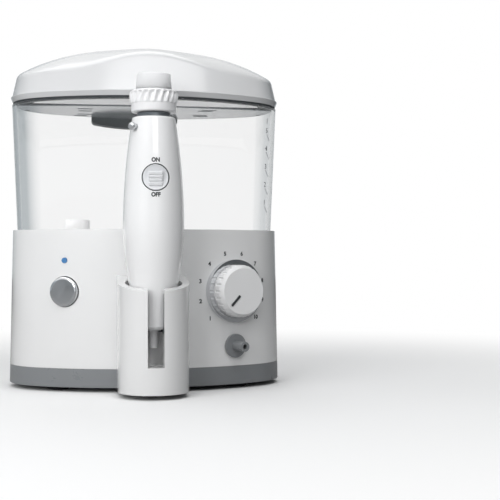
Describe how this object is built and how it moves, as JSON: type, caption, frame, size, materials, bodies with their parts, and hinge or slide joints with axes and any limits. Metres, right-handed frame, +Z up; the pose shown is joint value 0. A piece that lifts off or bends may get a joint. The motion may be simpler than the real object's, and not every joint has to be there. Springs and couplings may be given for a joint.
{
  "type": "oral irrigator",
  "caption": "Countertop oral irrigator: clear tapered tank with a domed hinged lid on an oval pump base, and a handpiece with a knurled collar in a front cradle beside a pressure dial.",
  "frame": {"origin": "middle of the bounding box on the surface that the feet stand on", "axes": "+Z up, -Y to the front with the handpiece, +X to the right seen from the front"},
  "size_m": [0.1822, 0.159, 0.2268],
  "materials": {
    "white_gloss": "glossy moulded plastic",
    "white_satin": "satin moulded plastic",
    "grey_dark": "satin moulded plastic",
    "grey_mid": "satin moulded plastic",
    "clear": "clear moulded plastic",
    "frosted": "glossy translucent plastic",
    "bright_trim": "bright plated",
    "steel": "turned steel",
    "brass": "turned brass",
    "rubber": "moulded rubber",
    "hose": "soft tube",
    "nylon": "moulded nylon",
    "board": "coated board",
    "lamp": "tinted lens",
    "tip_blue": "coloured plastic",
    "tip_green": "coloured plastic",
    "tip_pink": "coloured plastic",
    "tip_yellow": "coloured plastic"
  },
  "bodies": {
    "base": {"base_shell": "white_gloss", "base_tray": "grey_mid", "rubber_feet": "rubber", "base_screws": "steel", "handle_cradle": "white_gloss", "cradle_liner": "grey_dark", "inlet_spigot": "white_satin", "spigot_seal": "rubber", "suction_hose": "hose", "pump_body": "nylon", "gear_frame": "grey_dark", "motor": "steel", "crank_axle": "steel", "pressure_hose": "hose", "regulator_body": "brass", "outlet_hose": "hose", "hose_outlet": "grey_mid", "circuit_board": "board", "power_switch": "grey_dark", "indicator_lens": "lamp", "cord_gland": "grey_dark", "dial_bezel": "bright_trim", "pump_dampers": "rubber"},
    "tank": {"water_tank": "clear", "valve_cage": "white_satin", "hinge_bracket": "grey_dark", "hinge_pin": "steel", "tip_tray": "frosted", "jet_tip_1": "white_gloss", "jet_tip_2": "white_gloss", "jet_tip_3": "white_gloss", "jet_tip_4": "white_gloss", "tip_ring_1": "tip_blue", "tip_ring_2": "tip_green", "tip_ring_3": "tip_pink", "tip_ring_4": "tip_yellow"},
    "poppet": {"valve_poppet": "grey_dark"},
    "lid": {"lid_shell": "white_gloss"},
    "handpiece": {"handle_front": "white_gloss", "handle_rear": "white_gloss", "handle_neck": "grey_mid", "water_tube": "hose", "hose_nipple": "white_satin", "switch_plate": "bright_trim"},
    "collar": {"knurled_ring": "white_satin", "nozzle_cap": "white_satin"},
    "flow_slider": {"flow_switch": "bright_trim"},
    "eject": {"eject_button": "bright_trim"},
    "dial": {"pressure_dial": "white_satin", "regulator_stem": "steel"},
    "power": {"power_button": "bright_trim"},
    "crank": {"crank_gear": "nylon"},
    "pinion": {"motor_pinion": "brass", "motor_shaft": "steel"},
    "piston": {"pump_piston": "nylon", "piston_seal": "rubber"}
  },
  "joints": [
    {"name": "tank_lift", "type": "slide", "parent": "base", "child": "tank", "axis": [0, 0, 1], "range_m": [0, 0.04]},
    {"name": "lid_hinge", "type": "hinge", "parent": "tank", "child": "lid", "pos_m": [0, 0.07605, 0.1912], "axis": [-1, 0, 0], "range_deg": [0, 100]},
    {"name": "poppet_lift", "type": "slide", "parent": "tank", "child": "poppet", "axis": [0, 0, 1], "range_m": [0, 0.003]},
    {"name": "handpiece_lift", "type": "slide", "parent": "base", "child": "handpiece", "axis": [0, 0, 1], "range_m": [0, 0.06]},
    {"name": "collar_turn", "type": "hinge", "parent": "handpiece", "child": "collar", "pos_m": [0, -0.05755, 0.1754], "axis": [0, 0, 1], "continuous": true},
    {"name": "flow_slide", "type": "slide", "parent": "handpiece", "child": "flow_slider", "axis": [0, 0, 1], "range_m": [0, 0.003]},
    {"name": "eject_press", "type": "slide", "parent": "handpiece", "child": "eject", "axis": [0.809, 0.5878, 0], "range_m": [0, 0.0015], "stiffness_N_per_m": 400},
    {"name": "dial_turn", "type": "hinge", "parent": "base", "child": "dial", "pos_m": [0.0548, -0.02542, 0.064], "axis": [-0.4132, 0.9107, 0], "range_deg": [0, 270]},
    {"name": "power_press", "type": "slide", "parent": "base", "child": "power", "axis": [0.4132, 0.9107, 0], "range_m": [0, 0.0015], "stiffness_N_per_m": 600},
    {"name": "crank_turn", "type": "hinge", "parent": "base", "child": "crank", "pos_m": [0.018, 0.01335, 0.042], "axis": [0, 1, 0], "range_deg": [-90, 90]},
    {"name": "pinion_turn", "type": "hinge", "parent": "base", "child": "pinion", "pos_m": [0.046, 0.01335, 0.042], "axis": [0, 1, 0], "range_deg": [-230, 230]},
    {"name": "piston_slide", "type": "slide", "parent": "base", "child": "piston", "axis": [1, 0, 0], "range_m": [-0.0051, 0.0051]}
  ],
  "couplings": [
    {"joint": "pinion_turn", "follows": "crank_turn", "ratio": -2.5},
    {"joint": "piston_slide", "follows": "crank_turn", "m_per_rad": 0.0031831}
  ]
}
